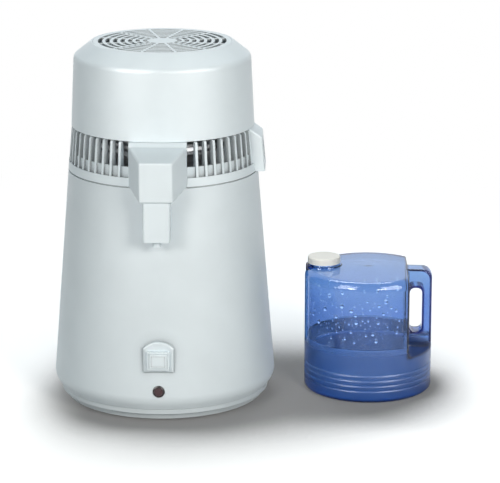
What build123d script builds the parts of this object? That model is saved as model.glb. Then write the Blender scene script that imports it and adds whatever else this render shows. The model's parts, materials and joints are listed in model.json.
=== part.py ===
from build123d import *
import os
from math import asin, cos, degrees, dist, hypot, radians, sin

# Countertop water distiller, in millimetres: a boiler, its lift-off head and a jug beside them.
# The origin is on the counter at the boiler's axis. +Z is up, the spout points to -Y, the jug is at +X.

# Clearances
fit_gap = 0.3          # between moulded pieces that seat in each other
run_gap = 0.3          # between pieces that slide past each other
pin_gap = 0.05         # round shafts, pins and screws
root_embed = 1.0       # of a rib or post in the wall that it stands on
least_round = 0.6      # smallest inside corner that is still drawn

# Boiler casing, a tapered shell
belly_radius = 113.5
seam_inset = 16.5      # from the belly in to the top edge
belly_height = 36.0
rim_inset = 4.9        # from the belly in to the bottom edge
rim_height = 14.5
rim_rise = 9.5         # from the bottom edge to the corner that belly_round rounds
belly_round = 16.0
casing_wall = 2.5
ledge_thickness = 3.0
rim_land = 10.0        # from the tank's wall to the casing's outside at the seam
lip_setback = 1.9
lip_wall = 1.2
lip_height = 2.5

# Boiling tank and heater
tank_wall = 0.8
tank_depth = 177.5
tank_base_height = 62.0
tank_corner = 12.0
plate_inset = 18.2
plate_thickness = 6.0
element_inset = 18.0   # from the plate's edge to the ring's middle
element_size = 7.0     # across the flats of the pressed sheath
element_gap_angle = 50.0
terminal_radius = 2.2
terminal_drop = 10.0
clamp_width = 10.0
clamp_thickness = 2.0
stud_radius = 3.0
thermostat_radius = 8.0
thermostat_height = 9.0
thermostat_circle = 26.0
shield_gap = 4.0
shield_wall = 0.8
shield_rim = 10.0
shield_drop = 9.0      # below the element's terminals

# Base tray, feet and screws
foot_height = 2.5
foot_radius = 9.0
foot_stem = 4.0
foot_inset = 35.5      # from the belly in to the feet's circle
foot_count = 4
foot_start_angle = 45.0
tray_wall = 3.0
tray_foot_inset = 12.0
tray_step_inset = 9.5
tray_step_height = 9.0
tray_band_inset = 6.3
tray_lip_height = 8.0
tower_radius = 5.0
tower_inset = 18.5
tower_height = 24.0
boss_height = 22.0
boss_rib = 3.0
column_radius = 4.5
column_inset = 26.0     # from the shield's edge
air_slot_count = 12
air_slot_width = 3.5
air_slot_length = 22.0
air_slot_circle = 38.0
screw_radius = 1.6
screw_head_radius = 3.4
screw_head_height = 2.4
screw_head_round = 0.8
screw_bite = 14.0

# Front button and lamp
button_boss_width = 30.8
button_boss_bottom = 55.0
button_boss_straight = 25.0
button_boss_rise = 7.0
button_boss_proud = 3.5
button_boss_round = 2.0
button_width = 18.0
button_tall = 15.2
button_height = 68.3
button_proud = 1.6     # beyond the collar
button_travel = 3.0
button_length = 15.0
button_round = 1.0
button_rim = 2.0
button_dish = 0.5
collar_wall = 0.9
collar_flange = 0.8
collar_corner = 1.1
collar_round = 0.4
collar_proud = 4.6
module_depth = 9.0
module_tab = 3.0
module_tab_thickness = 1.0
module_tab_offset = 4.7
module_nest = 3.0
lens_radius = 5.9
lens_height = 34.8
lens_proud = 1.0
lens_length = 12.0
lens_round = 0.9
holder_wall = 2.4
holder_length = 10.0
holder_setback = 4.2   # from the casing's outside to the holder's front

# Mains inlet at the rear and fan inlet on the head
inlet_width = 24.4
inlet_opening = 16.6
inlet_depth = 15.0
inlet_wall = 1.3
inlet_floor = 2.5
inlet_flange = 2.4
inlet_flange_thickness = 2.2
inlet_height = 43.5
inlet_pad_margin = 5.0
inlet_pad_proud = 2.5
blade_width = 4.0
blade_thickness = 2.0
blade_pitch = 7.0
mains_blade_length = 12.0

# Steam seal and dome
seal_inset = 0.6
seal_width = 4.8
seal_height = 3.0
dome_wall = 0.8
dome_flange = 9.0
dome_rise = 10.0
dome_plateau = 50.0
riser_wall = 3.6
riser_height = 3.0

# Vent ring with its radial fins
seam_gap = 1.5
vent_height = 45.0
band_height = 8.6
dam_height = 10.4
dam_inset = 3.7
dam_wall = 3.0
clamp_reach = 5.3
clamp_height = 3.4
fin_pitch_angle = 6.0
fin_thickness = 2.6
fin_reach = 2.3        # inside the dam
fin_setback = 0.4
fin_corner = 2.4
fin_top_gap = 1.0      # under the cover's edge
fin_side_gap = 3.0
spigot_wall = 6.0
spigot_above = 5.0
post_radius = 5.5
post_inset = 7.2       # from the cover's inside to the posts' circle
post_height = 10.0     # above the cover's edge
post_land = 8.0
post_count = 3
post_start_angle = 90.0

# Top cover and grille
cover_inset = 3.8      # from the seam in to the cover
cover_wall = 2.5
cover_side = 71.0
cover_taper = 3.2
cover_round = 7.0
crown_rise = 14.0
crown_inset = 21.0
crown_land = 1.6
seat_depth = 2.8
seat_width = 4.1
seat_thickness = 2.8
grille_rings = 7
grille_margin = 7.6    # from the seat in to the outer slot
grille_first = 17.4
grille_bar = 3.2
grille_sectors = 12
grille_spoke = 2.6
grille_skirt = 3.2     # of the ribs below the seat
cover_boss_radius = 4.2
cover_boss_height = 46.0
cover_boss_rib = 2.4

# Spout and filter cup
cup_width = 27.6
cup_depth = 22.5
cup_taper = 0.6
cup_body = 39.5
cup_engage = 28.0
cup_headroom = 5.0
cup_wall = 1.8
cup_round = 3.0
cup_casing_gap = 5.0   # lets the cup pull down past the slope
nozzle_radius = 4.0
nozzle_bore = 2.6
nozzle_drop = 6.5
nozzle_flange_radius = 6.0
nozzle_flange = 1.5
pod_gap = 0.8
pod_height = 30.0
pod_round = 1.5
spout_flange_width = 57.4
spout_flange_depth = 9.0
spout_flange_chamfer = 3.6
spout_side_wall = 2.2
spout_front_wall = 3.2
spout_drop = 6.7       # of the front's lower edge below the seam
spout_front_height = 41.0
spout_round = 2.5
housing_seat = 4.7     # from the cover's edge in to the flat that the housings seat on
housing_top_gap = 0.4

# Fan socket on the right of the head
socket_width = 45.6
socket_depth = 16.2
socket_draft = 3.2
socket_shoulder_rise = 35.0
socket_round = 2.0
socket_opening_rise = 17.0
socket_floor = 2.5
fan_blade_length = 8.0

# Condenser coil, a flat spiral of half circles
coil_tube = 4.7        # tube radius to its corners
coil_sides = 8
coil_turn_gap = 3.4
coil_margin = 23.2     # from the fins in to the outlet
coil_half_turns = 5
coil_bend = 10.5
coil_lift = 0.4        # from the riser's top to the start of the bend
coil_tail = 4.0        # of the tube past the dome
coil_samples = 24      # points on each half turn where its gap is measured
drip_lead = 6.0        # from the cup's back wall to the drip point

# Fan and motor
bracket_thickness = 1.6
bracket_hub = 33.0
bracket_arm = 12.0
motor_radius = 29.0
motor_height = 24.0
motor_round = 3.0
shaft_radius = 3.0
shaft_seat = 12.0
hub_radius = 16.0
hub_gap = 4.0
hub_height = 18.0
blade_embed = 3.2       # of the fan blades in the hub
fan_tip_gap = 6.5
fan_blades_count = 7
fan_root_chord = 22.0
fan_tip_chord = 36.0
fan_root_pitch = 42.0
fan_tip_pitch = 26.0
fan_blade_thickness = 1.8

# Jug
jug_gap = 32.0         # from the boiler
jug_y = 24.0
jug_radius = 66.5
jug_height = 128.0
jug_crown = 1.5
jug_wall = 2.2
jug_base_round = 5.0
jug_shoulder = 9.0
groove_count = 4
groove_first = 13.0
groove_pitch = 5.5
groove_depth = 1.1
groove_half = 1.4
pocket_depth = 25.5
pocket_floor = 45.0
pocket_round = 4.0
rim_round = 2.5        # along the pockets' rims
web_half = 11.0
web_root_round = 1.5
hole_land = 2.0
grip_depth = 10.5
hole_bottom = 61.0
hole_top_land = 19.5
hole_round = 5.5
hole_edge_round = 1.5
neck_inset = 20.0
neck_y = 7.0
neck_radius = 14.2
neck_wall = 2.4
neck_height = 7.2
neck_boss_radius = 19.0
neck_boss_rise = 1.9
neck_boss_round = 1.0
cap_radius = 17.0
cap_top = 2.0
cap_round = 1.2
cap_clear = 3.4        # under the skirt
liner_thickness = 1.2

# Sizes that follow from the ones above
seam_radius = belly_radius - seam_inset
seam_height = tank_base_height + tank_depth
rim_radius = belly_radius - rim_inset
tray_foot_radius = belly_radius - tray_foot_inset
tray_step_radius = belly_radius - tray_step_inset
tray_band_radius = belly_radius - tray_band_inset
tower_circle = belly_radius - tower_inset
foot_circle = belly_radius - foot_inset
shield_radius = tower_circle - tower_radius - shield_gap
column_circle = shield_radius - column_inset
casing_taper = (belly_radius - seam_radius) / (seam_height - belly_height)
tank_outer = seam_radius - rim_land
tank_radius = tank_outer - tank_wall
lip_outer = seam_radius - lip_setback
lip_inner = lip_outer - lip_wall
tank_rim_radius = lip_inner - fit_gap
tank_rim_top = seam_height + tank_wall
tank_floor = tank_rim_top - tank_depth
plate_bottom = tank_floor - tank_wall - plate_thickness
plate_radius = tank_radius - plate_inset
element_ring = plate_radius - element_inset
element_bottom = plate_bottom - element_size
shield_height = element_bottom - terminal_drop - shield_drop
seal_outer = tank_rim_radius - seal_inset
seal_top = tank_rim_top + seal_height
dome_rim_top = seal_top + dome_wall
dome_top = dome_rim_top + dome_rise
coil_height = dome_top + riser_height + coil_lift + coil_bend
ring_bottom = seam_height + seam_gap
cover_edge = ring_bottom + vent_height
band_top = ring_bottom + band_height
dam_top = band_top + dam_height
band_bore = lip_outer + run_gap
dam_outer = seam_radius - dam_inset
dam_inner = dam_outer - dam_wall
clamp_inner = dam_inner - clamp_reach
clamp_top = dome_rim_top + clamp_height
fin_inner = dam_inner - fin_reach
coil_end = fin_inner - coil_margin
coil_step = coil_tube + coil_turn_gap / 2
coil_first = coil_end - coil_step * (coil_half_turns - 0.5)
cover_radius = seam_radius - cover_inset
cover_inner = cover_radius - cover_wall
spigot_radius = cover_inner - fit_gap
crown_radius = cover_radius - crown_inset
post_circle = cover_inner - post_inset
bracket_bottom = cover_edge + post_height
bracket_top = bracket_bottom + bracket_thickness
housing_flat = cover_radius - housing_seat
housing_top = cover_edge - housing_top_gap
socket_reach = housing_flat + socket_depth
socket_shoulder = ring_bottom + socket_shoulder_rise
socket_opening_height = ring_bottom + socket_opening_rise
shoulder_height = cover_edge + cover_side
crown_height = shoulder_height + crown_rise
seat_radius = crown_radius - crown_land
seat_height = crown_height - seat_depth
grille_pitch = (seat_radius - grille_margin - grille_first) / (grille_rings - 1)
grille_slot = grille_pitch - grille_bar
fan_radius = seat_radius - seat_width - fan_tip_gap
spout_bottom = seam_height - spout_drop
cup_bottom = spout_bottom - fit_gap - cup_body
cup_top = spout_bottom + cup_engage
cavity_top = cup_top + cup_headroom


def casing_radius(height):
    """Outside radius of the casing's cone."""
    return belly_radius - (height - belly_height) * casing_taper


def vent_radius(height):
    """Outside radius of the vent ring's cone."""
    return seam_radius - (height - ring_bottom) * (seam_radius - cover_radius) / vent_height


button_boss_face = casing_radius(button_height) + button_boss_proud
inlet_pad_face = casing_radius(inlet_height) + inlet_pad_proud
cup_back = casing_radius(cup_bottom - nozzle_drop) + cup_casing_gap
cup_center = cup_back + cup_depth / 2
spout_front = cup_back + cup_depth + run_gap + spout_front_wall
spout_front_width = cup_width + 2 * (run_gap + spout_side_wall)
motor_top = bracket_top + motor_height
hub_bottom = motor_top + hub_gap
neck_top = jug_height + neck_height
neck_x = neck_inset - jug_radius
jug_x = belly_radius + jug_gap + jug_radius
pocket_x = jug_radius - pocket_depth
hole_x = pocket_x + hole_land
grip_x = jug_radius - grip_depth
hole_top = jug_height - hole_top_land
tower_spots = PolarLocations(tower_circle, foot_count, foot_start_angle)
foot_spots = PolarLocations(foot_circle, foot_count, foot_start_angle)
post_spots = PolarLocations(post_circle, post_count, post_start_angle)


def disc(radius, low, high):
    return Pos(0, 0, low) * Cylinder(radius, high - low, align=(Align.CENTER, Align.CENTER, Align.MIN))


def ring(inner, outer, low, high):
    return disc(outer, low, high) - disc(inner, low, high)


def block(x0, x1, y0, y1, z0, z1):
    return Pos((x0 + x1) / 2, (y0 + y1) / 2, (z0 + z1) / 2) * Box(x1 - x0, y1 - y0, z1 - z0)


def side_face(points, radii=None):
    """Face in the XZ plane from (radius, height) points, with its corners rounded where radii says."""
    if radii is None:
        return Plane.XZ * make_face(Polyline(*points, close=True))
    return Plane.XZ * make_face(FilletPolyline(*points, radius=radii, close=True))


def turned(points, radii=None):
    return revolve(side_face(points, radii), Axis.Z)


def front_plane(y, center_height):
    return Plane(origin=(0, y, center_height), x_dir=(1, 0, 0), z_dir=(0, 1, 0))


def front_bar(width, height, y0, y1, center_height, corner=0):
    """Square bar along Y, between y0 and y1, with rounded long edges."""
    outline = RectangleRounded(width, height, corner) if corner else Rectangle(width, height)
    return extrude(front_plane(y0, center_height) * outline, y1 - y0)


def front_rod(radius, y0, y1, center_height):
    return extrude(front_plane(y0, center_height) * Circle(radius), y1 - y0)


def casing_form(inset, bottom, top):
    """The casing's turned form, drawn in by a wall."""
    corner = rim_height + rim_rise
    points = [
        (0, bottom),
        (rim_radius - inset, bottom),
        (casing_radius(corner) - inset, corner),
        (casing_radius(top) - inset, top),
        (0, top),
    ]
    return turned(points, [0, 0, belly_round, 0, 0])


def button_bar(margin, y0, y1, corner=0):
    """Bar with the button's outline, larger by a margin all round."""
    return front_bar(button_width + 2 * margin, button_tall + 2 * margin, y0, y1, button_height, corner)


def button_boss():
    """Arched pad that carries the button, standing out of the casing's slope."""
    half = button_boss_width / 2
    straight = button_boss_bottom + button_boss_straight
    sides = Polyline(
        (-half, straight), (-half, button_boss_bottom), (half, button_boss_bottom), (half, straight)
    )
    arch = ThreePointArc((half, straight), (0, straight + button_boss_rise), (-half, straight))
    pad = extrude(Plane.XZ * make_face([sides, arch]), button_boss_face)
    front = pad.faces().sort_by(Axis.Y)[0]
    return fillet(front.edges(), button_boss_round)


def inlet_pad():
    width = inlet_width + 2 * (inlet_wall + inlet_pad_margin)
    height = inlet_opening + 2 * (inlet_wall + inlet_pad_margin)
    return front_bar(width, height, 0, inlet_pad_face, inlet_height, inlet_pad_margin)


def boiler_casing():
    inside = casing_form(casing_wall, rim_height, seam_height - ledge_thickness)
    shell = casing_form(0, rim_height, seam_height) + button_boss() + inlet_pad()
    shell -= inside
    shell -= disc(tank_outer + fit_gap, rim_height, seam_height)
    shell += ring(lip_inner, lip_outer, seam_height, seam_height + lip_height)
    boss_top = tower_height + boss_height
    rib = block(0, belly_radius - tower_circle, -boss_rib / 2, boss_rib / 2, tower_height, boss_top)
    boss = disc(tower_radius, tower_height, boss_top) + rib
    seat = casing_form(casing_wall - root_embed, rim_height, seam_height)
    bosses = [spot * boss & seat for spot in tower_spots]
    shell += bosses
    pilot = disc(screw_radius + pin_gap, tower_height, tower_height + screw_bite)
    shell -= [spot * pilot for spot in tower_spots]
    shell -= button_bar(run_gap + collar_wall + fit_gap, -button_boss_face, 0)
    shell -= front_rod(lens_radius + fit_gap, lens_front(), 0, lens_height)
    margin = 2 * (inlet_wall + fit_gap)
    shell -= front_bar(inlet_width + margin, inlet_opening + margin, 0, inlet_pad_face, inlet_height)
    return shell


def boiler_tank():
    """Deep-drawn tank, hung by its turned-out rim."""
    outer = [
        (0, tank_floor - tank_wall),
        (tank_outer, tank_floor - tank_wall),
        (tank_outer, seam_height),
        (tank_rim_radius, seam_height),
        (tank_rim_radius, tank_rim_top),
        (0, tank_rim_top),
    ]
    inner = [(0, tank_floor), (tank_radius, tank_floor), (tank_radius, tank_rim_top), (0, tank_rim_top)]
    corner = tank_corner + tank_wall
    return turned(outer, [0, corner, 0, 0, 0, 0]) - turned(inner, [0, tank_corner, 0, 0])


def heater_plate():
    return disc(plate_radius, plate_bottom, tank_floor - tank_wall)


def heating_element():
    """Pressed sheath bent to an open ring, with its two terminals turned down."""
    section = RegularPolygon(element_size / 2, 6, major_radius=False)
    center = plate_bottom - element_size / 2
    start = element_gap_angle / 2 - 90
    place = Plane.XZ * Pos(element_ring, center) * section
    sheath = Rot(0, 0, start) * revolve(place, Axis.Z, 360 - element_gap_angle)
    ends = [start, start - element_gap_angle]
    terminal = disc(terminal_radius, element_bottom - terminal_drop, center)
    legs = []
    for side, angle in zip((1, -1), ends):
        inward = angle + side * degrees(terminal_radius / element_ring)
        spot = Pos(element_ring * cos(radians(inward)), element_ring * sin(radians(inward)), 0)
        legs.append(spot * terminal)
    return sheath + legs


def element_clamp():
    reach = element_ring + element_size / 2
    low = element_bottom - clamp_thickness
    bar = block(-reach, reach, -clamp_width / 2, clamp_width / 2, low, element_bottom)
    return bar + disc(stud_radius, low, plate_bottom)


def thermostat(side):
    body = disc(thermostat_radius, plate_bottom - thermostat_height, plate_bottom)
    return Pos(0, side * thermostat_circle, 0) * body


def heat_shield():
    points = [
        (0, shield_height),
        (shield_radius, shield_height),
        (shield_radius, shield_height + shield_rim),
        (shield_radius - shield_wall, shield_height + shield_rim),
        (shield_radius - shield_wall, shield_height + shield_wall),
        (0, shield_height + shield_wall),
    ]
    return turned(points)


def base_tray():
    """Stepped base that the casing's edge stands on, with air slots and screw towers."""
    lip_radius = rim_radius - casing_wall - fit_gap
    floor = foot_height + tray_wall
    lip_top = rim_height + tray_lip_height
    points = [
        (0, foot_height),
        (tray_foot_radius, foot_height),
        (tray_step_radius, tray_step_height),
        (tray_band_radius, tray_step_height),
        (tray_band_radius, rim_height),
        (lip_radius, rim_height),
        (lip_radius, lip_top),
        (lip_radius - tray_wall, lip_top),
        (lip_radius - tray_wall, rim_height),
        (tray_foot_radius - tray_wall, floor),
        (0, floor),
    ]
    tray = turned(points)
    tray += [spot * disc(tower_radius, floor - root_embed, tower_height) for spot in tower_spots]
    column = disc(column_radius, floor - root_embed, shield_height)
    tray += [spot * column for spot in PolarLocations(column_circle, foot_count)]
    head_top = foot_height + screw_head_height
    tray -= [spot * disc(screw_head_radius + fit_gap, foot_height, head_top) for spot in tower_spots]
    tray -= [spot * disc(screw_radius + pin_gap, foot_height, tower_height) for spot in tower_spots]
    tray -= [spot * disc(foot_stem + pin_gap, foot_height, floor) for spot in foot_spots]
    slot = Pos(0, 0, foot_height) * extrude(SlotOverall(air_slot_length, air_slot_width), tray_wall)
    tray -= [spot * slot for spot in PolarLocations(air_slot_circle, air_slot_count)]
    return tray


def foot():
    """Rubber foot with the stem that plugs into the tray."""
    return disc(foot_radius, 0, foot_height) + disc(foot_stem, foot_height, foot_height + tray_wall)


def screw(head_bottom, bite_top):
    """Pan-head screw pointing up."""
    head_top = head_bottom + screw_head_height
    head = disc(screw_head_radius, head_bottom, head_top)
    head = fillet(head.edges().group_by(Axis.Z)[0], screw_head_round)
    return head + disc(screw_radius, head_top, bite_top)


def button_collar():
    """Frame on the boss, with a sleeve that the button slides in."""
    sleeve = run_gap + collar_wall
    front = -button_boss_face - collar_proud
    back = -button_boss_face + button_length - collar_proud + button_travel + module_nest
    frame = button_bar(sleeve + collar_flange, front, -button_boss_face, collar_corner)
    edges = frame.faces().sort_by(Axis.Y)[0].edges()
    frame = fillet(edges, collar_round)
    frame += button_bar(sleeve, front + collar_proud, back)
    return frame - button_bar(run_gap, front, back)


def power_button():
    front = -button_boss_face - collar_proud - button_proud
    button = button_bar(0, front, front + button_length + button_proud)
    edges = button.faces().sort_by(Axis.Y)[0].edges()
    return fillet(edges, button_round) - button_bar(-button_rim, front, front + button_dish)


def switch_module():
    """Latching switch in the back end of the collar's sleeve."""
    front = -button_boss_face - collar_proud + button_length + button_travel + run_gap
    back = front + module_depth
    body = button_bar(run_gap - pin_gap, front, back)
    tab = front_bar(blade_width, module_tab_thickness, back, back + module_tab, button_height)
    return body + [Pos(side * module_tab_offset, 0, 0) * tab for side in (-1, 1)]


def lens_front():
    return -casing_radius(lens_height) - lens_proud


def indicator_lens():
    lens = front_rod(lens_radius, lens_front(), lens_front() + lens_length, lens_height)
    edges = lens.faces().sort_by(Axis.Y)[0].edges()
    return fillet(edges, lens_round)


def lamp_holder():
    """Ring that is pushed on the lens from inside."""
    front = -casing_radius(lens_height) + holder_setback
    hollow = front_rod(lens_radius + pin_gap, front, lens_front() + lens_length, lens_height)
    return front_rod(lens_radius + holder_wall, front, front + holder_length, lens_height) - hollow


def inlet_shell(front, center_height):
    """Appliance inlet with an open recess, drawn facing +Y with its flange on the given face."""
    back = front + inlet_flange_thickness - inlet_depth - inlet_floor
    width = inlet_width + 2 * inlet_wall
    height = inlet_opening + 2 * inlet_wall
    flange = front_bar(width + 2 * inlet_flange, height + 2 * inlet_flange, front,
                       front + inlet_flange_thickness, center_height, inlet_flange)
    body = front_bar(width, height, back, front, center_height)
    recess = front_bar(inlet_width, inlet_opening, back + inlet_floor, front + inlet_flange_thickness,
                       center_height, inlet_wall)
    return flange + body - recess


def mains_inlet():
    return inlet_shell(inlet_pad_face, inlet_height)


def inlet_blades(floor, length, center_height, count):
    """Flat contact blades standing on the recess floor, drawn facing +Y."""
    blades = []
    for index in range(count):
        offset = (index - (count - 1) / 2) * blade_pitch
        blade = front_bar(blade_thickness, blade_width, floor, floor + length, center_height)
        blades.append(Pos(offset, 0, 0) * blade)
    return blades


def mains_pins():
    floor = inlet_pad_face + inlet_flange_thickness - inlet_depth
    return Compound(children=inlet_blades(floor, mains_blade_length, inlet_height, 3))


def steam_seal():
    return ring(seal_outer - seal_width, seal_outer, tank_rim_top, seal_top)


def riser_spot():
    """Place of the coil's inlet on the dome."""
    start = coil_first - coil_step / 2
    return Rot(0, 0, coil_angle()) * Pos(start, -coil_bend, 0)


def steam_dome():
    """Pressed lid of the tank, with a flat rim, a slope and a flat top."""
    slope = seal_outer - dome_flange
    under = dome_top - dome_wall
    points = [
        (0, under),
        (dome_plateau, under),
        (slope, seal_top),
        (seal_outer, seal_top),
        (seal_outer, dome_rim_top),
        (slope, dome_rim_top),
        (dome_plateau, dome_top),
        (0, dome_top),
    ]
    return turned(points) - riser_spot() * disc(coil_tube + pin_gap, under, dome_top)


def steam_riser():
    hole = coil_tube + pin_gap
    return riser_spot() * ring(hole, hole + riser_wall, dome_top, dome_top + riser_height)


def drip_point():
    return cup_back + drip_lead


def coil_angle():
    """Turn of the spiral that aims its outlet at the drip point."""
    return degrees(asin(coil_end / drip_point()))


def coil_path():
    """Inlet bend, half circles that grow by a step each, and the straight outlet."""
    x = coil_first - coil_step / 2
    z = coil_height
    low = dome_top - dome_wall - coil_tail
    rise = coil_bend * sin(radians(45))
    bend_start = (x, -coil_bend, z - coil_bend)
    bend_middle = (x, -rise, z - coil_bend + rise)
    edges = [Line((x, -coil_bend, low), bend_start), ThreePointArc(bend_start, bend_middle, (x, 0, z))]
    side = 1
    for index in range(coil_half_turns):
        radius = coil_first + index * coil_step
        end = x - side * 2 * radius
        edges.append(ThreePointArc((x, 0, z), ((x + end) / 2, side * radius, z), (end, 0, z)))
        x = end
        side = -side
    run = drip_point() * cos(radians(coil_angle()))
    edges.append(Line((x, 0, z), (x, -run, z)))
    return edges


def condenser_coil():
    """One unbroken tube from the dome to the spout."""
    edges = coil_path()
    start = Plane(origin=edges[0] @ 0, z_dir=edges[0] % 0)
    section = start * RegularPolygon(coil_tube, coil_sides)
    tube = sweep(section, Wire(edges))
    points = [edge @ (step / coil_samples) for edge in edges[2:-1] for step in range(coil_samples)]
    full_turn = 3 * coil_samples // 2
    least = min(
        dist(tuple(a), tuple(b))
        for i, a in enumerate(points)
        for b in points[i + full_turn:]
    )
    print("condenser coil: least gap to itself", round(least - 2 * coil_tube, 2), "mm")
    return Rot(0, 0, coil_angle()) * tube


def fin_angles():
    """Angles of the fins that clear the spout and the socket."""
    angles = []
    room = fin_thickness / 2 + fin_side_gap
    spout_limit = degrees(asin((spout_flange_width / 2 + room) / fin_inner))
    socket_limit = degrees(asin((socket_width / 2 + room) / fin_inner))
    for index in range(round(360 / fin_pitch_angle)):
        angle = index * fin_pitch_angle
        from_spout = abs(angle - 270)
        from_socket = min(angle, 360 - angle)
        if from_spout > spout_limit and from_socket > socket_limit:
            angles.append(angle)
    return angles


def housing_cuts(gap):
    """Room in the vent ring for the spout and the fan socket."""
    half_spout = spout_flange_width / 2 + gap
    half_socket = socket_width / 2 + gap
    far = seam_radius + socket_depth
    return [
        block(-half_spout, half_spout, -far, -housing_flat, ring_bottom, cover_edge),
        block(housing_flat, far, -half_socket, half_socket, ring_bottom, cover_edge),
    ]


def vent_fin():
    """Fin with a round shoulder under the cover and a tab that carries the spigot."""
    root = clamp_top - root_embed
    shelf = band_top - root_embed
    shoulder = cover_edge - fin_top_gap
    tab = spigot_radius - fit_gap
    tab_top = cover_edge + root_embed
    points = [
        (fin_inner, root),
        (dam_outer - root_embed, root),
        (dam_outer - root_embed, shelf),
        (vent_radius(shelf) - fin_setback, shelf),
        (vent_radius(shoulder) - fin_setback, shoulder),
        (tab, shoulder),
        (tab, tab_top),
        (fin_inner, tab_top),
    ]
    return extrude(side_face(points, [0, 0, 0, 0, fin_corner, 0, 0, 0]), fin_thickness / 2, both=True)


def vent_ring():
    """One moulding: skirt, clamp ledge, low dam, radial fins, screw posts and the cover's spigot."""
    section = [
        (seam_radius, ring_bottom),
        (vent_radius(band_top), band_top),
        (dam_outer, band_top),
        (dam_outer, dam_top),
        (dam_inner, dam_top),
        (dam_inner, clamp_top),
        (clamp_inner, clamp_top),
        (clamp_inner, dome_rim_top),
        (band_bore, dome_rim_top),
        (band_bore, ring_bottom),
    ]
    moulding = turned(section)
    moulding += ring(spigot_radius - spigot_wall, spigot_radius, cover_edge, cover_edge + spigot_above)
    moulding += [spot * disc(post_radius, clamp_top - root_embed, bracket_bottom) for spot in post_spots]
    moulding += [Rot(0, 0, angle) * vent_fin() for angle in fin_angles()]
    moulding -= housing_cuts(fit_gap)
    head_seat = bracket_bottom - post_land
    head_hole = disc(screw_head_radius + fit_gap, clamp_top - root_embed, head_seat)
    stem_hole = disc(screw_radius + pin_gap, head_seat, bracket_bottom)
    moulding -= [spot * (head_hole + stem_hole) for spot in post_spots]
    return moulding


def cover_form(inset):
    """The cover's turned form up to its crown, drawn in by a wall."""
    side = cover_radius - inset
    shoulder = cover_radius - cover_taper - inset
    crown = crown_radius - inset
    points = [
        (0, cover_edge),
        (side, cover_edge),
        (shoulder, shoulder_height - inset),
        (crown, crown_height - inset),
        (0, crown_height - inset),
    ]
    return turned(points, [0, 0, cover_round, 0, 0])


def top_cover():
    """Domed cover with a stepped seat for the grille and three screw bosses inside."""
    cover = cover_form(0) - cover_form(cover_wall)
    inner_seat = seat_radius - seat_width
    cover += disc(seat_radius, seat_height - seat_thickness, crown_height) & cover_form(0)
    cover -= disc(seat_radius, seat_height, crown_height)
    cover -= disc(inner_seat, seat_height - seat_thickness, seat_height)
    boss_top = bracket_top + cover_boss_height
    rib = block(0, cover_boss_radius + cover_radius - post_circle, -cover_boss_rib / 2, cover_boss_rib / 2,
                bracket_top, boss_top)
    boss = disc(cover_boss_radius, bracket_top, boss_top) + rib
    cover += [spot * boss & cover_form(cover_wall - root_embed) for spot in post_spots]
    pilot = disc(screw_radius + pin_gap, bracket_top, bracket_top + screw_bite)
    return cover - [spot * pilot for spot in post_spots]


def fan_grille():
    """Insert with deep concentric slots between radial spokes."""
    plate = Circle(seat_radius - fit_gap)
    skirt = Circle(seat_radius - seat_width - fit_gap)
    spokes = [
        Rot(0, 0, (index + 0.5) * 360 / grille_sectors) * Pos(seat_radius / 2, 0) * Rectangle(
            seat_radius, grille_spoke)
        for index in range(grille_sectors)
    ]
    for index in range(grille_rings):
        middle = grille_first + index * grille_pitch
        slot = Circle(middle + grille_slot / 2) - Circle(middle - grille_slot / 2)
        plate -= slot - spokes
        skirt -= slot - spokes
    insert = extrude(Pos(0, 0, seat_height) * plate, seat_depth)
    return insert + extrude(Pos(0, 0, seat_height - grille_skirt) * skirt, grille_skirt)


def spout_housing():
    """Moulded outlet: a flange in the vent ring, and a nose that narrows to the front."""
    half = spout_flange_width / 2
    root = -(housing_flat + spout_flange_depth)
    strip_top = housing_top - spout_flange_chamfer
    flange = block(-half, half, root, -housing_flat, ring_bottom, housing_top)
    edge = flange.edges().filter_by(Axis.X).sort_by(lambda e: e.center().Z - e.center().Y)[-1]
    flange = chamfer(edge, spout_flange_chamfer)
    back_height = strip_top - ring_bottom
    back_middle = ring_bottom + back_height / 2
    back_face = front_plane(root, back_middle) * Rectangle(spout_flange_width, back_height)
    front_middle = spout_bottom + spout_front_height / 2
    front_face = front_plane(-spout_front, front_middle) * Rectangle(spout_front_width, spout_front_height)
    nose = loft([front_face, back_face], ruled=True)
    back_edges = nose.faces().sort_by(Axis.Y)[-1].edges()
    nose = fillet(nose.edges() - back_edges, spout_round)
    housing = flange + nose
    housing -= disc(band_bore, ring_bottom, dome_rim_top)
    return housing - spout_cavity() - coil_clearance()


def spout_cavity():
    """Room for the cup's upper end."""
    width = cup_width + 2 * run_gap
    depth = cup_depth + 2 * run_gap
    outline = RectangleRounded(width, depth, cup_round + run_gap)
    return Pos(0, -cup_center, spout_bottom) * extrude(outline, cavity_top - spout_bottom)


def coil_clearance():
    """Slanted bore for the coil's outlet."""
    length = drip_point() * cos(radians(coil_angle())) + coil_tube
    start = Plane(origin=(-coil_end, 0, coil_height), x_dir=(1, 0, 0), z_dir=(0, -1, 0))
    bore = extrude(start * Circle(coil_tube + fit_gap), length)
    return Rot(0, 0, coil_angle()) * bore


def socket_housing():
    """Side housing in the vent ring, with the recess for the fan's plug."""
    half = socket_width / 2
    points = [
        (housing_flat, ring_bottom),
        (socket_reach, ring_bottom),
        (socket_reach - socket_draft, socket_shoulder),
        (housing_flat, housing_top),
    ]
    body = extrude(side_face(points), half, both=True)
    outer_edges = body.edges().filter_by(lambda e: e.center().X > housing_flat + fit_gap
                                         and e.center().Z > ring_bottom + fit_gap)
    body = fillet(outer_edges, socket_round)
    body -= disc(band_bore, ring_bottom, dome_rim_top)
    opening = front_bar(inlet_width, inlet_opening, housing_flat + socket_floor, socket_reach,
                        socket_opening_height, inlet_wall)
    return body - Rot(0, 0, -90) * opening


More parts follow.
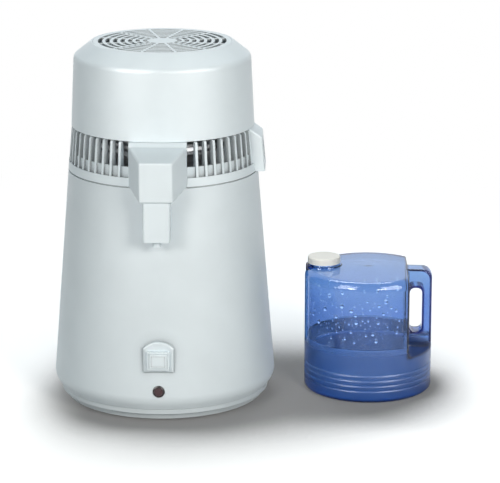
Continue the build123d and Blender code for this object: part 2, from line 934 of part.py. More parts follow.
def socket_pins():
    floor = housing_flat + socket_floor
    blades = inlet_blades(floor, fan_blade_length, socket_opening_height, 2)
    return Compound(children=[Rot(0, 0, -90) * blade for blade in blades])


def motor_bracket():
    """Three-armed sheet that carries the motor on the vent ring's posts."""
    plate = Circle(bracket_hub)
    reach = post_circle + cover_boss_radius
    for index in range(post_count):
        angle = post_start_angle + index * 360 / post_count
        plate += Rot(0, 0, angle) * Pos(reach / 2, 0) * Rectangle(reach, bracket_arm)
    sheet = extrude(Pos(0, 0, bracket_bottom) * plate, bracket_thickness)
    return sheet - [spot * disc(screw_radius + pin_gap, bracket_bottom, bracket_top) for spot in post_spots]


def fan_motor():
    body = disc(motor_radius, bracket_top, motor_top)
    body = fillet(body.edges().group_by(Axis.Z)[-1], motor_round)
    return body - disc(shaft_radius + pin_gap, motor_top - shaft_seat - run_gap, motor_top)


def fan_shaft():
    return disc(shaft_radius, motor_top - shaft_seat, hub_bottom + hub_height)


def fan_section(radius, chord, pitch):
    plane = Plane(origin=(radius, 0, hub_bottom + hub_height / 2), x_dir=(0, 1, 0), z_dir=(1, 0, 0))
    return plane * Rot(0, 0, pitch) * Rectangle(chord, fan_blade_thickness)


def fan_blades():
    """Hub with twisted blades."""
    hub = disc(hub_radius, hub_bottom, hub_bottom + hub_height)
    root = fan_section(hub_radius - blade_embed, fan_root_chord, fan_root_pitch)
    tip = fan_section(fan_radius, fan_tip_chord, fan_tip_pitch)
    blade = loft([root, tip])
    hub += [spot * blade for spot in PolarLocations(0, fan_blades_count)]
    return hub - disc(shaft_radius + pin_gap, hub_bottom, hub_bottom + hub_height)


def cover_screws():
    head_bottom = bracket_bottom - post_land - screw_head_height
    body = screw(head_bottom, bracket_top + screw_bite)
    return Compound(children=[spot * body for spot in post_spots])


def base_screws():
    body = screw(foot_height, tower_height + screw_bite)
    return Compound(children=[spot * body for spot in tower_spots])


def cup_form(inset, floor, top):
    """The cup's outline: a tapered body below the spout and a straight end inside it."""
    def outline(taper, height):
        shape = RectangleRounded(cup_width - taper - 2 * inset, cup_depth - taper - 2 * inset,
                                 max(cup_round - inset, least_round))
        return Pos(0, -cup_center, height) * shape
    shoulder = cup_bottom + cup_body
    body = loft([outline(cup_taper, floor), outline(0, shoulder)])
    return body + extrude(outline(0, shoulder), top - shoulder)


def filter_cup():
    cup = cup_form(0, cup_bottom, cup_top) - cup_form(cup_wall, cup_bottom + cup_wall, cup_top)
    hole = disc(nozzle_radius + pin_gap, cup_bottom, cup_bottom + cup_wall)
    return cup - Pos(0, -cup_center, 0) * hole


def outlet_nozzle():
    floor = cup_bottom + cup_wall
    tube = disc(nozzle_radius, cup_bottom - nozzle_drop, floor)
    tube += disc(nozzle_flange_radius, floor, floor + nozzle_flange)
    tube -= disc(nozzle_bore, cup_bottom - nozzle_drop, floor + nozzle_flange)
    return Pos(0, -cup_center, 0) * tube


def carbon_pod():
    """Carbon sachet on the nozzle's flange."""
    inset = 2 * (cup_wall + pod_gap) + cup_taper
    outline = RectangleRounded(cup_width - inset, cup_depth - inset, cup_round)
    base = cup_bottom + cup_wall + nozzle_flange
    pod = Pos(0, -cup_center, base) * extrude(outline, pod_height)
    return fillet(pod.edges().group_by(Axis.Z)[-1], pod_round)


def jug_form(inset):
    """The jug's form with its handle, drawn in by a wall. The jug's axis is the Z axis here."""
    radius = jug_radius - inset
    top = jug_height - inset
    points = [(0, inset), (radius, inset), (radius, top), (0, top + jug_crown)]
    body = turned(points, [0, jug_base_round, jug_shoulder, 0])
    wall_x = pocket_x - inset
    half = web_half - inset
    far = jug_radius + jug_wall
    pocket = block(wall_x, far, half, far, pocket_floor - inset, jug_height + far)
    corner = pocket.edges().filter_by(Axis.Y).sort_by(lambda e: e.center().X + e.center().Z)[0]
    pocket = fillet(corner, pocket_round)
    root = pocket.edges().filter_by(Axis.Z).sort_by(lambda e: e.center().X + e.center().Y)[0]
    pocket = fillet(root, web_root_round)
    body -= [pocket, pocket.mirror(Plane.XZ)]
    width = grip_x - hole_x + 2 * inset
    height = hole_top - hole_bottom + 2 * inset
    outline = RectangleRounded(width, height, hole_round)
    plane = Plane.XZ.offset(-far)
    center = ((grip_x + hole_x) / 2, (hole_top + hole_bottom) / 2)
    return body - extrude(plane * Pos(*center) * outline, 2 * far)


def pocket_rim(edge):
    """Whether an edge of the jug's form runs along a pocket's rim."""
    middle = edge.position_at(0.5)
    beside = middle.X > pocket_x - fit_gap and middle.Z > pocket_floor - fit_gap
    outside = hypot(middle.X, middle.Y) > jug_radius - fit_gap or middle.Z > jug_height - jug_shoulder
    return beside and outside and abs(middle.Y) > web_half - fit_gap


def hole_rim(edge):
    """Whether an edge of the jug's form runs round the handle's hole."""
    middle = edge.position_at(0.5)
    on_web = abs(abs(middle.Y) - web_half) < fit_gap
    return on_web and hole_x <= middle.X <= grip_x and hole_bottom <= middle.Z <= hole_top


def jug_grooves():
    grooves = []
    for index in range(groove_count):
        height = groove_first + index * groove_pitch
        outer = jug_radius + groove_depth
        grooves.append(turned([
            (jug_radius - groove_depth, height),
            (outer, height - 2 * groove_half),
            (outer, height + 2 * groove_half),
        ]))
    return grooves


def jug_body():
    """Blow-moulded jug with a hollow handle, and a pouring neck on a low boss."""
    spot = Pos(neck_x, neck_y, 0)
    inside = jug_form(jug_wall)
    shell = jug_form(0)
    shell = fillet(shell.edges().filter_by(hole_rim), hole_edge_round)
    shell = fillet(shell.edges().filter_by(pocket_rim), rim_round)
    shell -= jug_grooves()
    boss = disc(neck_boss_radius, jug_height - jug_shoulder, jug_height + neck_boss_rise)
    shell += spot * fillet(boss.edges().group_by(Axis.Z)[-1], neck_boss_round)
    shell += spot * disc(neck_radius, jug_height - jug_shoulder, neck_top)
    shell -= inside
    shell -= spot * disc(neck_radius - neck_wall, jug_height - jug_shoulder, neck_top)
    return Pos(jug_x, jug_y, 0) * shell


def cap_liner():
    spot = Pos(jug_x + neck_x, jug_y + neck_y, 0)
    return spot * disc(neck_radius, neck_top, neck_top + liner_thickness)


def spout_cap():
    """Screw cap over the neck."""
    spot = Pos(jug_x + neck_x, jug_y + neck_y, 0)
    top = neck_top + liner_thickness
    cap = disc(cap_radius, jug_height + cap_clear, top + cap_top)
    cap = fillet(cap.edges().group_by(Axis.Z)[-1], cap_round)
    return spot * (cap - disc(neck_radius + run_gap, jug_height + cap_clear, top))


os.makedirs("parts", exist_ok=True)
nodes = {
    "boiler_casing": boiler_casing(),
    "boiler_tank": boiler_tank(),
    "heater_plate": heater_plate(),
    "heating_element": heating_element(),
    "element_clamp": element_clamp(),
    "boil_dry_thermostat": thermostat(1),
    "thermal_cutout": thermostat(-1),
    "heat_shield": heat_shield(),
    "base_tray": base_tray(),
    "base_screws": base_screws(),
    "button_collar": button_collar(),
    "power_button": power_button(),
    "switch_module": switch_module(),
    "indicator_lens": indicator_lens(),
    "lamp_holder": lamp_holder(),
    "mains_inlet": mains_inlet(),
    "mains_pins": mains_pins(),
    "steam_seal": steam_seal(),
    "steam_dome": steam_dome(),
    "steam_riser": steam_riser(),
    "condenser_coil": condenser_coil(),
    "vent_ring": vent_ring(),
    "top_cover": top_cover(),
    "fan_grille": fan_grille(),
    "spout_housing": spout_housing(),
    "socket_housing": socket_housing(),
    "socket_pins": socket_pins(),
    "motor_bracket": motor_bracket(),
    "fan_motor": fan_motor(),
    "fan_shaft": fan_shaft(),
    "fan_blades": fan_blades(),
    "cover_screws": cover_screws(),
    "filter_cup": filter_cup(),
    "outlet_nozzle": outlet_nozzle(),
    "carbon_pod": carbon_pod(),
    "jug_body": jug_body(),
    "cap_liner": cap_liner(),
    "spout_cap": spout_cap(),
}
for index, spot in enumerate(foot_spots, start=1):
    nodes[f"foot_{index}"] = spot * foot()
for name, shape in nodes.items():
    export_step(shape, f"parts/{name}.step")
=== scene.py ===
import json
import math
import random

import bmesh
import bpy
from mathutils import Euler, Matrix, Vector


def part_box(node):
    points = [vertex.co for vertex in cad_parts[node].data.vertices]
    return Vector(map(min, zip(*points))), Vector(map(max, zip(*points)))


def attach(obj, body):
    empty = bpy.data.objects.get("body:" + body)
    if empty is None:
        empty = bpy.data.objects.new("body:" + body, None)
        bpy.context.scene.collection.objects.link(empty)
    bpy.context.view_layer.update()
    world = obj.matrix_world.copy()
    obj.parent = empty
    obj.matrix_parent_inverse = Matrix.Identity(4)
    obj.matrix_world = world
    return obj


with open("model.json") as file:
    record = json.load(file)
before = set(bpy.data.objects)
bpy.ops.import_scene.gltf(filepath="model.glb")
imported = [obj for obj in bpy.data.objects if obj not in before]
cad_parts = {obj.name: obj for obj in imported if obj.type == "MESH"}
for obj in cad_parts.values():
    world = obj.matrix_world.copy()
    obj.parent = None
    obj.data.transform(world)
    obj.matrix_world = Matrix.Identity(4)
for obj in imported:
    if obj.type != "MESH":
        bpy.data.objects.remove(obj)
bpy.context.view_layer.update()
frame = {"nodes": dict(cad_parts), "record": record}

# Looks of a countertop water distiller: a white boiler with a finned head, and a blue jug beside it.
# Everything is in metres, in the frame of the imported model.

mm = 0.001
nodes = frame["nodes"]

# Camera, from a fit to the round edges in the picture
camera_place = (149.8 * mm, -2497.0 * mm, 823.0 * mm)
camera_pitch = 14.84           # degrees below the horizon
camera_yaw = 1.4               # degrees, to the left
camera_lens = 180.24           # in the sensor's unit
camera_sensor = 36.0

# Lamps and sky
key_target = (0.03, 0, 0.22)
key_size = (0.55, 0.55)
key_colour = (1.0, 0.945, 0.885)
strip_target = (0.21, 0, 0.12)
sky_strength = 0.15
sky_colour = (0.50, 0.85, 1.0)

# Floor
floor_size = 40.0
floor_gap = 0.3 * mm           # keeps the floor off the faces that stand on it
floor_greys = (0.44, 0.46)     # least and most, for the light that the floor throws on the object
floor_whites = (0.98, 1.0)     # the same where the floor is seen
floor_glow = 0.44              # part of the floor's whiteness that is seen but lights nothing
floor_roughness = 0.9
floor_specular = 0.1
fade_start = 0.45              # distance at which the floor starts to fade into the background
fade_stop = 1.0
jug_light = 1.15               # brightness of the floor seen through the jug, which lets light on to it

# Soft shadow on the floor, where openness is 1 in the open and 0 where all is closed in
contact_reach = 0.40           # how far the object closes in the floor round it
contact_samples = 48
contact_deepest = 0.62         # openness at which the shadow is deepest
contact_ends = 0.94            # openness at which it ends
contact_dark = 0.20            # what is left of the floor's brightness where it is deepest
left_start = -160.0 * mm       # where, going right, the shadow starts to deepen
left_stop = -70.0 * mm         # where it is full
left_share = 0.35              # its share to the left of the start

# Textures, and painted shade in creases
noise_low = 0.3                # most of a noise lies between these two
noise_high = 0.7
crease_shade_reach = 12.0 * mm       # how far the painted shade of a crease or a gap in a piece reaches into the plastic beside it
crease_shade_samples = 6

# Indicator lens
lens_red = (0.046, 0.010, 0.014)
lens_rim = (0.005, 0.001, 0.002)
lens_rim_start = 0.55          # shares of the radius between which the red goes to the rim's colour
lens_rim_stop = 0.9

# Inside of the jug
jug_low, jug_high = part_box("jug_body")
jug_middle = (jug_low + jug_high) / 2
jug_radius = (jug_high.x - jug_low.x) / 2
jug_wall = 2.2 * mm
pocket_side = 41.0 * mm        # from the jug's axis to the pockets beside the grip
pocket_floor = 45.0 * mm       # height at which the pockets start
web_half = 11.0 * mm           # half the width of the web between the pockets
base_round = 5.0 * mm          # radius from the jug's floor to its wall
base_steps = 4

# Tint of the jug at heights above the counter, darker toward the foot, partly for the thick plastic there
# and partly as painted shade, and paler toward the top as a painted reflection; and its gloss
jug_tints_painted_shade = (
    (8.0 * mm, (0.227, 0.364, 0.607)),
    (36.0 * mm, (0.617, 0.648, 0.838)),
    (96.0 * mm, (0.655, 0.671, 0.848)),
    (126.0 * mm, (0.857, 0.841, 0.90)),
)
jug_depth_tint = (0.30, 0.62, 0.86)             # tint that grows with the way through the plastic
jug_density = 450
jug_refraction = 1.45
satin_low = 48.0 * mm          # the foot's roughness ends here, going up
satin_high = 58.0 * mm         # the wall's roughness starts here
foot_roughness = 0.30
wall_roughness = 0.03

# Water in the jug
water_tint = (0.83, 0.875, 0.865)
water_refraction = 1.33
water_gap = 0.4 * mm           # from the water to the wall
water_height = 57.0 * mm
water_steps = 240              # corners round the water's edge
meniscus = 1.2 * mm            # how far the water's edge is drawn up

# Drops on the inside of the jug, with bearings in degrees from +X
drop_tint = (0.97, 0.985, 1.0)
# Colour of the painted glow at the foot of each drop
drop_glow = (0.90, 0.95, 1.0)
drop_refraction = 1.3
drop_seed = 11
drop_count = 190
drop_low = 62.0 * mm
drop_high = 112.0 * mm
drop_sizes = (0.5, 0.7, 0.7, 1.0, 1.5, 2.1)     # radii in mm
drop_swell = (0.8, 1.2)        # each drop's own factor on its radius
drop_slack = (0.1, 0.5)        # how much fuller a drop hangs at its foot
drop_spacing = 1.6             # least distance between two drops, in sums of their radii
drop_gap = 0.05 * mm           # from the drop to the wall
drop_dome = 0.5                # depth of the drop, in radii
drop_sink = 0.3                # how far its peak sinks, in radii for a slack of 1
drop_rings = 4
drop_steps = 12
front_share = 0.6              # share of the tries that is kept to the front
front_bearings = (200, 306, 268)                # from, to, and where the drops are thickest
all_bearings = (60, 306)

# Dark card behind the left of the jug
card_left = 30.0 * mm
card_right = 128.0 * mm
card_back = 160.0 * mm
card_height = 150.0 * mm
card_black = (0.01, 0.01, 0.01)


def shade(colour, factor):
    """Colour made darker or paler."""
    return tuple(min(1.0, part * factor) for part in colour)


def material(name):
    """New node material, with its tree and its surface shader."""
    made = bpy.data.materials.new(name)
    made.use_nodes = True
    tree = made.node_tree
    return made, tree, tree.nodes["Principled BSDF"]


def feed(tree, source, target):
    """Links an output to an input, or sets the input to a plain value."""
    if isinstance(source, bpy.types.NodeSocket):
        tree.links.new(source, target)
    else:
        target.default_value = source


def place(tree, scale=(1, 1, 1)):
    """Object coordinates, stretched."""
    coordinates = tree.nodes.new("ShaderNodeTexCoord")
    mapping = tree.nodes.new("ShaderNodeMapping")
    mapping.inputs["Scale"].default_value = scale
    feed(tree, coordinates.outputs["Object"], mapping.inputs["Vector"])
    return mapping.outputs["Vector"]


def axis(tree, vector, letter):
    """One of the three parts of a vector."""
    parts = tree.nodes.new("ShaderNodeSeparateXYZ")
    feed(tree, vector, parts.inputs["Vector"])
    return parts.outputs[letter]


def vectors(tree, operation, first, second=(0, 0, 0)):
    """Node that works on vectors, each an output or a plain value."""
    made = tree.nodes.new("ShaderNodeVectorMath")
    made.operation = operation
    feed(tree, first, made.inputs[0])
    feed(tree, second, made.inputs[1])
    return made


def length(tree, vector):
    """Length of a vector."""
    return vectors(tree, "LENGTH", vector).outputs["Value"]


def combine(tree, operation, first, second):
    """One number from two, each an output or a plain value."""
    made = tree.nodes.new("ShaderNodeMath")
    made.operation = operation
    feed(tree, first, made.inputs[0])
    feed(tree, second, made.inputs[1])
    return made.outputs["Value"]


def spread(tree, value, start, stop, low=0.0, high=1.0, smooth=False):
    """Numbers from low to high as the value goes from start to stop."""
    made = tree.nodes.new("ShaderNodeMapRange")
    made.interpolation_type = "SMOOTHSTEP" if smooth else "LINEAR"
    made.inputs["From Min"].default_value = start
    made.inputs["From Max"].default_value = stop
    made.inputs["To Min"].default_value = low
    made.inputs["To Max"].default_value = high
    feed(tree, value, made.inputs["Value"])
    return made.outputs["Result"]


def blend(tree, kind, factor, first, second):
    """Goes from the first to the second as the factor goes from 0 to 1."""
    made = tree.nodes.new("ShaderNodeMix")
    made.data_type = kind
    feed(tree, factor, made.inputs["Factor"])
    feed(tree, first, made.inputs["A"])
    feed(tree, second, made.inputs["B"])
    return made.outputs["Result"]


def mix_shaders(tree, factor, first, second, output):
    """Goes from the first shader to the second, and shows the mix."""
    made = tree.nodes.new("ShaderNodeMixShader")
    feed(tree, factor, made.inputs["Fac"])
    feed(tree, first, made.inputs[1])
    feed(tree, second, made.inputs[2])
    feed(tree, made.outputs["Shader"], output.inputs["Surface"])


def noise(tree, vector, scale, detail=3.0, roughness=0.5):
    """Cloudy numbers about one half."""
    made = tree.nodes.new("ShaderNodeTexNoise")
    made.inputs["Scale"].default_value = scale
    made.inputs["Detail"].default_value = detail
    made.inputs["Roughness"].default_value = roughness
    feed(tree, vector, made.inputs["Vector"])
    return made.outputs["Fac"]


def ramp(tree, factor, stops):
    """Colours at stops along the factor, each a position and a colour."""
    made = tree.nodes.new("ShaderNodeValToRGB")
    marks = made.color_ramp.elements
    while len(marks) < len(stops):
        marks.new(1.0)
    for mark, (position, colour) in zip(marks, stops):
        mark.position = position
        mark.color = (*colour, 1)
    feed(tree, factor, made.inputs["Fac"])
    return made.outputs["Color"]


def mottle(tree, cloud, colour, low, high):
    """Colour times low to colour times high, over the usual values of a noise."""
    return ramp(tree, cloud, ((noise_low, shade(colour, low)), (noise_high, shade(colour, high))))


def uneven(tree, cloud, level, low, high):
    """Level times low to level times high, over the usual values of a noise."""
    return spread(tree, cloud, noise_low, noise_high, level * low, level * high)


def bump(tree, shader, height, strength, distance):
    """Relief on the shader, from heights."""
    made = tree.nodes.new("ShaderNodeBump")
    made.inputs["Strength"].default_value = strength
    made.inputs["Distance"].default_value = distance
    feed(tree, height, made.inputs["Height"])
    feed(tree, made.outputs["Normal"], shader.inputs["Normal"])


def openness(tree, reach, samples, own_piece):
    """Node that tells how far each point is open, in the whole scene or in its own piece alone."""
    made = tree.nodes.new("ShaderNodeAmbientOcclusion")
    made.samples = samples
    made.only_local = own_piece
    made.inputs["Distance"].default_value = reach
    return made


def plastic(name, colour, roughness, grain=0.2):
    """Moulded plastic: faint cloudiness, uneven gloss, a fine spark-eroded grain, and painted shade in
    its own creases and gaps.
    """
    made, tree, shader = material(name)
    vector = place(tree)
    cloud = noise(tree, vector, scale=22, detail=4)
    # Painted shade: the colour is darkened where the piece closes in on itself, in its creases and gaps
    crease_shade = openness(tree, crease_shade_reach, crease_shade_samples, own_piece=True)
    feed(tree, mottle(tree, cloud, colour, low=0.975, high=1.02), crease_shade.inputs["Color"])
    feed(tree, crease_shade.outputs["Color"], shader.inputs["Base Color"])
    gloss = noise(tree, vector, scale=70, detail=5)
    feed(tree, uneven(tree, gloss, roughness, low=0.85, high=1.15), shader.inputs["Roughness"])
    bump(tree, shader, noise(tree, vector, scale=1400, detail=2), strength=grain, distance=0.12 * mm)
    return made


def metal(name, colour, roughness, stretch=(6, 6, 260)):
    """Bare metal with fine drawing lines."""
    made, tree, shader = material(name)
    lines = noise(tree, place(tree, stretch), scale=10, detail=5, roughness=0.6)
    feed(tree, mottle(tree, lines, colour, low=0.88, high=1.06), shader.inputs["Base Color"])
    feed(tree, uneven(tree, lines, roughness, low=0.75, high=1.3), shader.inputs["Roughness"])
    bump(tree, shader, lines, strength=0.12, distance=0.1 * mm)
    shader.inputs["Metallic"].default_value = 1.0
    return made


def rubber(name, colour, roughness=0.7):
    """Dull rubber with a coarse grain."""
    made, tree, shader = material(name)
    vector = place(tree)
    patch = noise(tree, vector, scale=60, detail=5)
    feed(tree, mottle(tree, patch, colour, low=0.8, high=1.25), shader.inputs["Base Color"])
    feed(tree, uneven(tree, patch, roughness, low=0.9, high=1.1), shader.inputs["Roughness"])
    bump(tree, shader, noise(tree, vector, scale=900), strength=0.35, distance=0.2 * mm)
    return made


def granules(name, colour):
    """Carbon grains behind a fine mesh."""
    made, tree, shader = material(name)
    cells = tree.nodes.new("ShaderNodeTexVoronoi")
    cells.inputs["Scale"].default_value = 650
    feed(tree, place(tree), cells.inputs["Vector"])
    outward = cells.outputs["Distance"]
    feed(tree, mottle(tree, outward, colour, low=1.8, high=0.5), shader.inputs["Base Color"])
    bump(tree, shader, outward, strength=0.6, distance=0.6 * mm)
    shader.inputs["Roughness"].default_value = 0.75
    return made


def lens(name):
    """Dark red lens, nearly black at its rim."""
    made, tree, shader = material(name)
    low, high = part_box("indicator_lens")
    radius = (high.x - low.x) / 2
    vector = place(tree)
    offset = vectors(tree, "SUBTRACT", vector, (low + high) / 2).outputs["Vector"]
    flat = vectors(tree, "MULTIPLY", offset, (1, 0, 1)).outputs["Vector"]
    share = combine(tree, "DIVIDE", length(tree, flat), radius)
    colours = ramp(tree, share, ((lens_rim_start, lens_red), (lens_rim_stop, lens_rim)))
    feed(tree, colours, shader.inputs["Base Color"])
    bump(tree, shader, noise(tree, vector, scale=900, detail=2), strength=0.15, distance=0.3 * mm)
    shader.inputs["Roughness"].default_value = 0.22
    shader.inputs["Coat Weight"].default_value = 0.4
    return made


def glassy(name, refraction):
    """New material that light goes through, with its tree and its surface shader."""
    made, tree, shader = material(name)
    shader.inputs["IOR"].default_value = refraction
    shader.inputs["Transmission Weight"].default_value = 1.0
    return made, tree, shader


def liquid(name, tint, refraction):
    """Clear liquid with a faint tint, with its tree and its surface shader."""
    made, tree, shader = glassy(name, refraction)
    cloud = noise(tree, place(tree), scale=12)
    feed(tree, mottle(tree, cloud, tint, low=0.985, high=1.01), shader.inputs["Base Color"])
    shader.inputs["Roughness"].default_value = 0.0
    return made, tree, shader


def droplet(name):
    """Clear water with a painted glow at the foot of each drop, in place of the light it gathers there.
    """
    made, tree, shader = liquid(name, drop_tint, drop_refraction)
    geometry = tree.nodes.new("ShaderNodeNewGeometry")
    upward = axis(tree, geometry.outputs["Normal"], "Z")
    # Painted glow on the downward faces, at the foot of each drop
    foot = spread(tree, upward, start=-0.50, stop=-0.20, low=1.0, high=0.0)
    shader.inputs["Emission Color"].default_value = (*drop_glow, 1)
    feed(tree, foot, shader.inputs["Emission Strength"])
    return made


def tinted(name):
    """Blue moulding: its tint deepens with thickness; toward the foot it is darker, partly for the thick
    plastic and partly as painted shade, and less glossy; toward the top it is paler as a painted
    reflection.
    """
    made, tree, shader = glassy(name, jug_refraction)
    vector = place(tree)
    height = axis(tree, vector, "Z")
    # Painted shade darkens the foot and a painted reflection pales the top, over the blue of the moulding
    stops = [(level / jug_high.z, tint) for level, tint in jug_tints_painted_shade]
    tints = ramp(tree, spread(tree, height, 0.0, jug_high.z), stops)
    feed(tree, tints, shader.inputs["Base Color"])
    gloss = spread(tree, height, satin_low, satin_high, foot_roughness, wall_roughness, smooth=True)
    feed(tree, gloss, shader.inputs["Roughness"])
    bump(tree, shader, noise(tree, vector, scale=45, detail=2), strength=0.10, distance=0.6 * mm)
    inside = tree.nodes.new("ShaderNodeVolumeAbsorption")
    inside.inputs["Color"].default_value = (*jug_depth_tint, 1)
    inside.inputs["Density"].default_value = jug_density
    feed(tree, inside.outputs["Volume"], tree.nodes["Material Output"].inputs["Volume"])
    return made


# For each slot: what makes its material, the colour, the roughness, and then a plastic's grain
# or the stretch of a metal's lines
white = (0.746, 0.823, 0.865)
slot_looks = {
    # The casing's white is a little darker than the head's, as painted shade.
    "casing_white": (plastic, shade(white, 0.95), 0.42),
    "head_white": (plastic, shade(white, 1.03), 0.40),
    "button_white": (plastic, shade(white, 1.04), 0.38),
    "stainless": (metal, (0.46, 0.47, 0.48), 0.34),
    "heater_alloy": (metal, (0.62, 0.62, 0.61), 0.5, (40, 40, 40)),
    "element_sheath": (metal, (0.16, 0.15, 0.14), 0.55, (60, 60, 60)),
    # The base's white is much darker than the casing's, as painted shade for its place in the recess
    # under the belly.
    "base_plastic": (plastic, shade(white, 0.76), 0.45, 0.4),
    "foot_rubber": (rubber, (0.035, 0.035, 0.037)),
    "seal_silicone": (rubber, (0.66, 0.66, 0.63), 0.5),
    "dark_plastic": (plastic, (0.028, 0.028, 0.03), 0.42, 0.5),
    "contact_brass": (metal, (0.72, 0.56, 0.28), 0.3, (30, 30, 30)),
    "lens_red": (lens,),
    "motor_metal": (metal, (0.30, 0.31, 0.32), 0.45, (30, 30, 120)),
    "zinc_screw": (metal, (0.62, 0.63, 0.61), 0.3, (50, 50, 50)),
    "fan_plastic": (plastic, (0.10, 0.105, 0.11), 0.4, 0.4),
    "filter_white": (plastic, shade(white, 1.03), 0.36),
    "carbon": (granules, (0.03, 0.03, 0.03)),
    "jug_blue": (tinted,),
    "cap_white": (plastic, (0.84, 0.83, 0.78), 0.42, 0.3),
}
slot_materials = {slot: maker(slot, *values) for slot, (maker, *values) in slot_looks.items()}


def dress_nodes():
    """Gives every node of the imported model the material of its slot."""
    for part in frame["record"]["subparts"]:
        mesh = nodes[part["node"]].data
        mesh.materials.clear()
        mesh.materials.append(slot_materials[part["material_slot"]])


def jug_reach(angle, inset, above_pockets):
    """Distance from the jug's axis to its inner wall, in a direction from +X.

    Where the pockets are, the wall follows their sides and the web between them.
    """
    reach = jug_radius - jug_wall - inset
    if not above_pockets:
        return reach
    side = pocket_side - jug_wall - inset
    half = web_half - jug_wall - inset
    along, across = math.cos(angle), abs(math.sin(angle))
    if along > 0 and side * across > half * along:
        return min(reach, side / along)
    if along > 0 and across * reach > half:
        return half / across
    return reach


def corner(build, angle, reach, height):
    """New corner in a direction from +X, at a distance from the jug's axis."""
    across = jug_middle.x + reach * math.cos(angle)
    back = jug_middle.y + reach * math.sin(angle)
    return build.verts.new((across, back, height))


def bridge(build, rings):
    """Faces between each ring of corners and the next."""
    for lower, upper in zip(rings, rings[1:]):
        for step in range(len(lower)):
            after = (step + 1) % len(lower)
            build.faces.new((lower[step], lower[after], upper[after], upper[step]))


def add_to_jug(name, build, look):
    """Makes the faces into an object that rides with the jug."""
    bmesh.ops.recalc_face_normals(build, faces=build.faces)
    mesh = bpy.data.meshes.new(name)
    build.to_mesh(mesh)
    build.free()
    mesh.materials.append(look)
    made = bpy.data.objects.new(name, mesh)
    bpy.context.scene.collection.objects.link(made)
    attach(made, "jug")
    return made


def water():
    """Water up to its level, inside the wall, with the edge drawn up where it wets the wall."""
    low = jug_wall + water_gap
    ledge = pocket_floor - jug_wall - water_gap
    # Each level has its height, its inset from the wall, and whether it is above the pockets' floor
    levels = []
    for index in range(base_steps + 1):
        turn = math.radians(90 * index / base_steps)
        levels.append((low + base_round * (1 - math.cos(turn)), base_round * (1 - math.sin(turn)), False))
    levels += [
        (ledge, 0, False),
        (ledge, 0, True),
        (water_height, 0, True),
        (water_height - meniscus / 2, meniscus / 2, True),
        (water_height - meniscus, 2 * meniscus, True),
    ]
    build = bmesh.new()
    rings = []
    for height, inset, above in levels:
        ring = []
        for step in range(water_steps):
            angle = math.tau * step / water_steps
            ring.append(corner(build, angle, jug_reach(angle, water_gap + inset, above), height))
        rings.append(ring)
    bridge(build, rings)
    build.faces.new(list(reversed(rings[0])))
    build.faces.new(rings[-1])
    look, _, _ = liquid("water", water_tint, water_refraction)
    add_to_jug("jug_water", build, look)


def add_drop(build, angle, height, size, slack):
    """One drop on the inner wall: a low dome that hangs fuller at its foot."""
    reach = jug_radius - jug_wall - drop_gap
    rings = []
    for index in range(drop_rings):
        turn = math.radians(90) * index / drop_rings
        wide = size * math.cos(turn)
        depth = reach - drop_dome * size * math.sin(turn)
        ring = []
        for step in range(drop_steps):
            around = math.tau * step / drop_steps
            sag = 1 + slack * max(0.0, -math.sin(around))
            across = wide * math.cos(around)
            up = wide * math.sin(around) * sag
            ring.append(corner(build, angle + across / reach, depth, height + up))
        rings.append(ring)
    peak = corner(build, angle, reach - drop_dome * size, height - drop_sink * slack * size)
    bridge(build, rings)
    for step in range(drop_steps):
        build.faces.new((rings[-1][step], rings[-1][(step + 1) % drop_steps], peak))
    build.faces.new(list(reversed(rings[0])))


def drops():
    """Drops scattered over the dry part of the wall, thickest half-way up and at the front."""
    chance = random.Random(drop_seed)
    build = bmesh.new()
    placed = []
    while len(placed) < drop_count:
        if chance.random() < front_share:
            bearing = chance.triangular(*front_bearings)
        else:
            bearing = chance.uniform(*all_bearings)
        height = chance.triangular(drop_low, drop_high, (drop_low + drop_high) / 2)
        size = chance.choice(drop_sizes) * chance.uniform(*drop_swell) * mm
        spot = (math.radians(bearing) * jug_radius, height)
        if all(math.dist(spot, other) > drop_spacing * (size + room) for other, room in placed):
            placed.append((spot, size))
            add_drop(build, math.radians(bearing), height, size, chance.uniform(*drop_slack))
    made = add_to_jug("jug_drops", build, droplet("drops"))
    made.data.shade_smooth()


def seen_rays(tree):
    """One for the rays by which the background is seen, straight, in gloss or through glass."""
    paths = tree.nodes.new("ShaderNodeLightPath")
    total = paths.outputs["Is Camera Ray"]
    for name in ("Is Glossy Ray", "Is Transmission Ray"):
        total = combine(tree, "MAXIMUM", total, paths.outputs[name])
    return total


def contact_shadow(tree, vector):
    """Soft shadow where the object closes in the floor: 1 in the open, and weaker on the left."""
    opened = openness(tree, contact_reach, contact_samples, own_piece=False).outputs["AO"]
    contact = spread(tree, opened, contact_deepest, contact_ends, low=contact_dark, smooth=True)
    weight = spread(tree, axis(tree, vector, "X"), left_start, left_stop, low=left_share, smooth=True)
    return blend(tree, "FLOAT", weight, 1.0, contact)


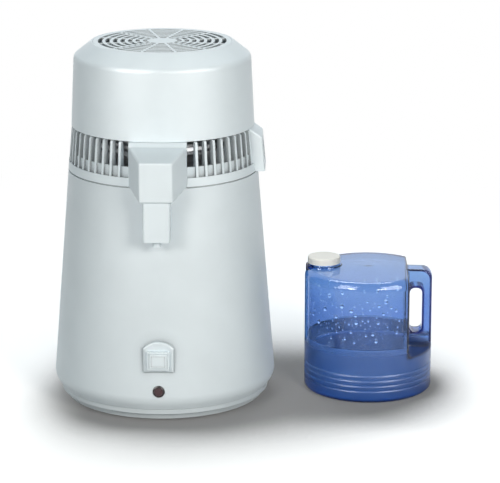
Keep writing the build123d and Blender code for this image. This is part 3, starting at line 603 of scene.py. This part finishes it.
def floor_material():
    """White with a soft shadow where it is seen, plain grey to the light, and fading far away."""
    made, tree, shader = material("floor")
    vector = place(tree)
    seen = seen_rays(tree)
    paths = tree.nodes.new("ShaderNodeLightPath")
    through = combine(tree, "MULTIPLY", paths.outputs["Is Transmission Ray"], jug_light)
    bright = combine(tree, "MAXIMUM", contact_shadow(tree, vector), through)
    grain = noise(tree, vector, scale=6)
    whites = mottle(tree, grain, (1, 1, 1), *floor_whites)
    greys = mottle(tree, grain, (1, 1, 1), *floor_greys)
    shadowed = blend(tree, "RGBA", bright, (0, 0, 0, 1), whites)
    feed(tree, blend(tree, "RGBA", seen, greys, shadowed), shader.inputs["Base Color"])
    shown = combine(tree, "MULTIPLY", bright, seen)
    shader.inputs["Emission Color"].default_value = (1, 1, 1, 1)
    feed(tree, combine(tree, "MULTIPLY", shown, floor_glow), shader.inputs["Emission Strength"])
    shader.inputs["Roughness"].default_value = floor_roughness
    shader.inputs["Specular IOR Level"].default_value = floor_specular
    fade = spread(tree, length(tree, vector), fade_start, fade_stop, smooth=True)
    share = combine(tree, "MULTIPLY", fade, seen)
    glow = tree.nodes.new("ShaderNodeEmission").outputs["Emission"]
    mix_shaders(tree, share, shader.outputs["BSDF"], glow, tree.nodes["Material Output"])
    return made


def stage():
    """Plain pale floor that fades to a white background away from the object."""
    bpy.ops.mesh.primitive_plane_add(size=floor_size, location=(0, 0, -floor_gap))
    floor = bpy.context.object
    floor.name = "floor"
    floor.data.materials.append(floor_material())


def dark_card():
    """Black card behind the left of the jug, which only its gloss sees and which darkens its edge."""
    middle = ((card_left + card_right) / 2, card_back, card_height / 2)
    bpy.ops.mesh.primitive_plane_add(size=1, location=middle)
    card = bpy.context.object
    card.name = "dark_card"
    card.rotation_euler = Euler((math.radians(90), 0, 0))
    card.scale = (card_right - card_left, card_height, 1)
    made, _, shader = material("dark_card")
    shader.inputs["Base Color"].default_value = (*card_black, 1)
    shader.inputs["Roughness"].default_value = 1.0
    card.data.materials.append(made)
    card.visible_camera = False
    card.visible_diffuse = False
    card.visible_transmission = False
    card.visible_shadow = False


def sky():
    """Soft light from all sides, which is white where it is seen."""
    world = bpy.data.worlds.new("sky")
    bpy.context.scene.world = world
    world.use_nodes = True
    tree = world.node_tree
    lit = tree.nodes["Background"]
    lit.inputs["Color"].default_value = (*sky_colour, 1)
    lit.inputs["Strength"].default_value = sky_strength
    plain = tree.nodes.new("ShaderNodeBackground")
    plain.inputs["Color"].default_value = (1, 1, 1, 1)
    first, second = lit.outputs["Background"], plain.outputs["Background"]
    mix_shaders(tree, seen_rays(tree), first, second, tree.nodes["World Output"])


def lamp(name, location, target, size, power, colour=(1, 1, 1), gloss_only=False):
    """Soft box that points at the target."""
    light = bpy.data.lights.new(name, "AREA")
    light.shape = "RECTANGLE"
    light.size = size[0]
    light.size_y = size[1]
    light.energy = power
    light.color = colour
    made = bpy.data.objects.new(name, light)
    made.location = location
    aim = Vector(target) - Vector(location)
    made.rotation_euler = aim.to_track_quat("-Z", "Y").to_euler()
    made.visible_diffuse = not gloss_only
    made.visible_transmission = False
    bpy.context.scene.collection.objects.link(made)


def camera():
    """Camera that sees the object as the picture does."""
    data = bpy.data.cameras.new("camera")
    data.lens = camera_lens
    data.sensor_width = camera_sensor
    made = bpy.data.objects.new("camera", data)
    made.location = camera_place
    made.rotation_euler = Euler((math.radians(90 - camera_pitch), 0, math.radians(camera_yaw)))
    bpy.context.scene.collection.objects.link(made)
    bpy.context.scene.camera = made


dress_nodes()
water()
drops()
stage()
dark_card()
sky()
lamp("key_left", (-0.75, -1.62, 0.85), key_target, key_size, power=11.5, colour=key_colour)
lamp("key_right", (0.95, -1.60, 0.85), key_target, key_size, power=19, colour=key_colour)
lamp("back_light", (0.0, 0.9, 1.75), (0.08, 0, 0), size=(1.3, 0.5), power=15.5)
lamp("left_strip", (-0.60, -0.75, 0.80), strip_target, size=(0.8, 1.1), power=26, gloss_only=True)
lamp("right_strip", (1.00, -0.75, 0.80), strip_target, size=(0.7, 1.1), power=23, gloss_only=True)
camera()
bpy.context.scene.view_settings.view_transform = "Standard"
